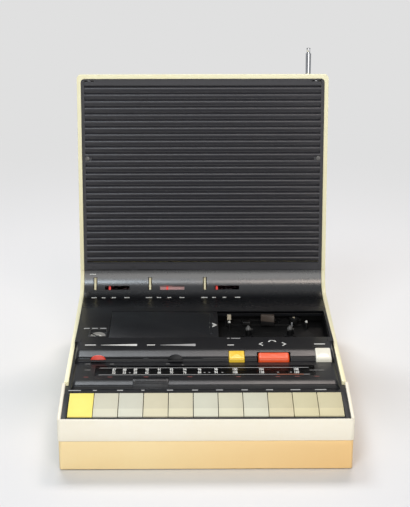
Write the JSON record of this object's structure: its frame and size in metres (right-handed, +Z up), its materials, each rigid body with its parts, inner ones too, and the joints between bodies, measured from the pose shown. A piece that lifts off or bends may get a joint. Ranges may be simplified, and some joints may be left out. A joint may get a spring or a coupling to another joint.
{
  "type": "radio cassette player",
  "caption": "Wedge shaped desk radio with an upright louvred speaker panel, a sloped row of piano keys, a tuning dial and an open cassette bay under a sliding lid.",
  "frame": {"origin": "middle of the footprint, on the table under the rubber feet", "axes": "+X to the user's right, +Y to the back, +Z up"},
  "size_m": [0.268, 0.362, 0.3277],
  "materials": {
    "cream_shell": "satin moulded plastic, yellowed with age",
    "white_frame": "satin moulded plastic",
    "tan_tray": "satin moulded plastic, strongly yellowed",
    "black_panel": "fine grained black plastic",
    "black_grille": "satin black louvres",
    "grey_key": "satin key plastic, unevenly yellowed",
    "yellow_key": "satin yellow plastic",
    "red_plastic": "glossy orange red plastic",
    "yellow_button": "glossy yellow plastic",
    "ivory_plastic": "glossy ivory plastic",
    "smoked_acrylic": "smoked acrylic",
    "clear_acrylic": "clear acrylic",
    "steel": "plated sheet steel",
    "chrome": "bright chromium plate",
    "brass": "turned brass",
    "rubber": "soft black rubber",
    "cone_paper": "pressed paper",
    "dark_metal": "black painted steel",
    "board": "resin board",
    "iron": "varnished laminated iron",
    "meter_face": "pale printed scale"
  },
  "bodies": {
    "case": {"bottom_tray": "tan_tray", "front_frame": "white_frame", "main_shell": "cream_shell", "speaker_shell": "cream_shell", "speaker_grille": "black_grille", "control_fascia": "black_panel", "deck_plate": "black_panel", "key_bezel": "black_panel", "key_rod": "steel", "dial_window": "clear_acrylic", "preset_lenses": "clear_acrylic", "mechanism_plate": "dark_metal", "motor": "steel", "drive_belt": "rubber", "level_meter": "meter_face", "speaker_frames": "dark_metal", "speaker_cones": "cone_paper", "microphones": "steel", "main_board": "board", "power_transformer": "iron", "mains_inlet": "black_panel", "feet": "rubber", "screws": "steel"},
    "key_1": {"key_1": "yellow_key"},
    "key_2": {"key_2": "grey_key"},
    "key_3": {"key_3": "grey_key"},
    "key_4": {"key_4": "grey_key"},
    "key_5": {"key_5": "grey_key"},
    "key_6": {"key_6": "grey_key"},
    "key_7": {"key_7": "grey_key"},
    "key_8": {"key_8": "grey_key"},
    "key_9": {"key_9": "grey_key"},
    "key_10": {"key_10": "grey_key"},
    "key_11": {"key_11": "grey_key"},
    "preset_wheel_1": {"preset_wheel_1": "ivory_plastic"},
    "preset_pointer_1": {"preset_pointer_1": "red_plastic"},
    "preset_wheel_2": {"preset_wheel_2": "ivory_plastic"},
    "preset_pointer_2": {"preset_pointer_2": "red_plastic"},
    "preset_wheel_3": {"preset_wheel_3": "ivory_plastic"},
    "preset_pointer_3": {"preset_pointer_3": "red_plastic"},
    "cassette_lid": {"cassette_lid": "smoked_acrylic"},
    "reel_spindle_left": {"reel_spindle_left": "ivory_plastic"},
    "reel_spindle_right": {"reel_spindle_right": "ivory_plastic"},
    "flywheel": {"flywheel": "steel"},
    "motor_pulley": {"motor_pulley": "brass"},
    "head_carriage": {"head_carriage": "dark_metal", "tape_heads": "steel"},
    "pinch_roller": {"pinch_roller": "rubber"},
    "record_button": {"record_button": "yellow_button"},
    "stop_button": {"stop_button": "ivory_plastic"},
    "transport_rocker": {"transport_rocker": "red_plastic"},
    "volume_slider": {"volume_slider": "red_plastic"},
    "tone_slider": {"tone_slider": "black_panel"},
    "tuning_roller": {"tuning_roller": "black_panel"},
    "dial_pointer": {"dial_pointer": "red_plastic"},
    "meter_needle": {"meter_needle": "red_plastic"},
    "aerial_turret": {"aerial_turret": "chrome"},
    "aerial_tube": {"aerial_tube": "chrome"},
    "aerial_rod": {"aerial_rod": "chrome"},
    "aerial_tip": {"aerial_tip": "chrome"}
  },
  "joints": [
    {"name": "key_1_press", "type": "hinge", "parent": "case", "child": "key_1", "pos_m": [-0.11405, -0.12829, 0.04973], "axis": [1, 0, 0], "range_deg": [0, 5], "stiffness_Nm_per_rad": 0.8, "springref_deg": -1.72},
    {"name": "key_2_press", "type": "hinge", "parent": "case", "child": "key_2", "pos_m": [-0.09124, -0.12829, 0.04973], "axis": [1, 0, 0], "range_deg": [0, 5], "stiffness_Nm_per_rad": 0.8, "springref_deg": -1.72},
    {"name": "key_3_press", "type": "hinge", "parent": "case", "child": "key_3", "pos_m": [-0.06843, -0.12829, 0.04973], "axis": [1, 0, 0], "range_deg": [0, 5], "stiffness_Nm_per_rad": 0.8, "springref_deg": -1.72},
    {"name": "key_4_press", "type": "hinge", "parent": "case", "child": "key_4", "pos_m": [-0.04562, -0.12829, 0.04973], "axis": [1, 0, 0], "range_deg": [0, 5], "stiffness_Nm_per_rad": 0.8, "springref_deg": -1.72},
    {"name": "key_5_press", "type": "hinge", "parent": "case", "child": "key_5", "pos_m": [-0.02281, -0.12829, 0.04973], "axis": [1, 0, 0], "range_deg": [0, 5], "stiffness_Nm_per_rad": 0.8, "springref_deg": -1.72},
    {"name": "key_6_press", "type": "hinge", "parent": "case", "child": "key_6", "pos_m": [0, -0.12829, 0.04973], "axis": [1, 0, 0], "range_deg": [0, 5], "stiffness_Nm_per_rad": 0.8, "springref_deg": -1.72},
    {"name": "key_7_press", "type": "hinge", "parent": "case", "child": "key_7", "pos_m": [0.02281, -0.12829, 0.04973], "axis": [1, 0, 0], "range_deg": [0, 5], "stiffness_Nm_per_rad": 0.8, "springref_deg": -1.72},
    {"name": "key_8_press", "type": "hinge", "parent": "case", "child": "key_8", "pos_m": [0.04562, -0.12829, 0.04973], "axis": [1, 0, 0], "range_deg": [0, 5], "stiffness_Nm_per_rad": 0.8, "springref_deg": -1.72},
    {"name": "key_9_press", "type": "hinge", "parent": "case", "child": "key_9", "pos_m": [0.06843, -0.12829, 0.04973], "axis": [1, 0, 0], "range_deg": [0, 5], "stiffness_Nm_per_rad": 0.8, "springref_deg": -1.72},
    {"name": "key_10_press", "type": "hinge", "parent": "case", "child": "key_10", "pos_m": [0.09124, -0.12829, 0.04973], "axis": [1, 0, 0], "range_deg": [0, 5], "stiffness_Nm_per_rad": 0.8, "springref_deg": -1.72},
    {"name": "key_11_press", "type": "hinge", "parent": "case", "child": "key_11", "pos_m": [0.11405, -0.12829, 0.04973], "axis": [1, 0, 0], "range_deg": [0, 5], "stiffness_Nm_per_rad": 0.8, "springref_deg": -1.72},
    {"name": "preset_wheel_1_turn", "type": "hinge", "parent": "case", "child": "preset_wheel_1", "pos_m": [-0.116, 0.13569, 0.07188], "axis": [1, 0, 0], "range_deg": [-39.9, 229]},
    {"name": "preset_pointer_1_slide", "type": "slide", "parent": "case", "child": "preset_pointer_1", "axis": [1, 0, 0], "range_m": [-0.0035, 0.02]},
    {"name": "preset_wheel_2_turn", "type": "hinge", "parent": "case", "child": "preset_wheel_2", "pos_m": [-0.057, 0.13569, 0.07188], "axis": [1, 0, 0], "range_deg": [-74.3, 194.6]},
    {"name": "preset_pointer_2_slide", "type": "slide", "parent": "case", "child": "preset_pointer_2", "axis": [1, 0, 0], "range_m": [-0.0065, 0.017]},
    {"name": "preset_wheel_3_turn", "type": "hinge", "parent": "case", "child": "preset_wheel_3", "pos_m": [0.002, 0.13569, 0.07188], "axis": [1, 0, 0], "range_deg": [-11.3, 257.6]},
    {"name": "preset_pointer_3_slide", "type": "slide", "parent": "case", "child": "preset_pointer_3", "axis": [1, 0, 0], "range_m": [-0.001, 0.0225]},
    {"name": "lid_slide", "type": "slide", "parent": "case", "child": "cassette_lid", "axis": [1, 0, 0], "range_m": [0, 0.11]},
    {"name": "reel_left_spin", "type": "hinge", "parent": "case", "child": "reel_spindle_left", "pos_m": [0.04545, 0.02659, 0.05386], "axis": [0, 0, 1], "continuous": true},
    {"name": "reel_right_spin", "type": "hinge", "parent": "case", "child": "reel_spindle_right", "pos_m": [0.08795, 0.02659, 0.05386], "axis": [0, 0, 1], "continuous": true},
    {"name": "flywheel_spin", "type": "hinge", "parent": "case", "child": "flywheel", "pos_m": [0.0915, 0.05059, 0.05386], "axis": [0, 0, 1], "continuous": true},
    {"name": "motor_spin", "type": "hinge", "parent": "case", "child": "motor_pulley", "pos_m": [0.0366, 0.04309, 0.04966], "axis": [0, 0, 1], "continuous": true},
    {"name": "head_carriage_slide", "type": "slide", "parent": "case", "child": "head_carriage", "axis": [0, -1, 0], "range_m": [0, 0.005], "stiffness_N_per_m": 150, "springref_m": -0.002},
    {"name": "pinch_roller_spin", "type": "hinge", "parent": "head_carriage", "child": "pinch_roller", "pos_m": [0.0945, 0.06249, 0.05786], "axis": [0, 0, 1], "continuous": true},
    {"name": "record_button_press", "type": "slide", "parent": "case", "child": "record_button", "axis": [0, 0, -1], "range_m": [0, 0.0025], "stiffness_N_per_m": 250, "springref_m": -0.002},
    {"name": "stop_button_press", "type": "slide", "parent": "case", "child": "stop_button", "axis": [0, 0, -1], "range_m": [0, 0.0025], "stiffness_N_per_m": 250, "springref_m": -0.002},
    {"name": "transport_rock", "type": "hinge", "parent": "case", "child": "transport_rocker", "pos_m": [0.0667, -0.063, 0.05786], "axis": [0, 1, 0], "range_deg": [-4.5, 4.5], "stiffness_Nm_per_rad": 0.5},
    {"name": "volume_slide", "type": "slide", "parent": "case", "child": "volume_slider", "axis": [1, 0, 0], "range_m": [0, 0.036]},
    {"name": "tone_slide", "type": "slide", "parent": "case", "child": "tone_slider", "axis": [1, 0, 0], "range_m": [-0.018, 0.018]},
    {"name": "tuning_roller_turn", "type": "hinge", "parent": "case", "child": "tuning_roller", "pos_m": [-0.051, -0.1169, 0.05626], "axis": [1, 0, 0], "range_deg": [0, 3600]},
    {"name": "dial_pointer_slide", "type": "slide", "parent": "case", "child": "dial_pointer", "axis": [1, 0, 0], "range_m": [0, 0.184]},
    {"name": "meter_needle_swing", "type": "hinge", "parent": "case", "child": "meter_needle", "pos_m": [-0.1062, -0.01061, 0.06786], "axis": [0, 0, -1], "range_deg": [0, 70], "stiffness_Nm_per_rad": 0.0004, "springref_deg": -11.46},
    {"name": "aerial_swivel", "type": "hinge", "parent": "case", "child": "aerial_turret", "pos_m": [0.113, 0.1735, 0.0945], "axis": [0, 0, 1], "range_deg": [-90, 90]},
    {"name": "aerial_tilt", "type": "hinge", "parent": "aerial_turret", "child": "aerial_tube", "pos_m": [0.113, 0.1735, 0.1039], "axis": [-1, 0, 0], "range_deg": [0, 90]},
    {"name": "aerial_extend", "type": "slide", "parent": "aerial_tube", "child": "aerial_rod", "axis": [0, 0, 1], "range_m": [0, 0.19]},
    {"name": "aerial_tip_extend", "type": "slide", "parent": "aerial_rod", "child": "aerial_tip", "axis": [0, 0, 1], "range_m": [0, 0.185]}
  ],
  "couplings": [
    {"joint": "preset_pointer_1_slide", "follows": "preset_wheel_1_turn", "m_per_rad": 0.005},
    {"joint": "preset_pointer_2_slide", "follows": "preset_wheel_2_turn", "m_per_rad": 0.005},
    {"joint": "preset_pointer_3_slide", "follows": "preset_wheel_3_turn", "m_per_rad": 0.005},
    {"joint": "motor_spin", "follows": "flywheel_spin", "ratio": 4.7083},
    {"joint": "dial_pointer_slide", "follows": "tuning_roller_turn", "m_per_rad": 0.002927},
    {"joint": "aerial_tip_extend", "follows": "aerial_extend", "ratio": 0.95}
  ]
}
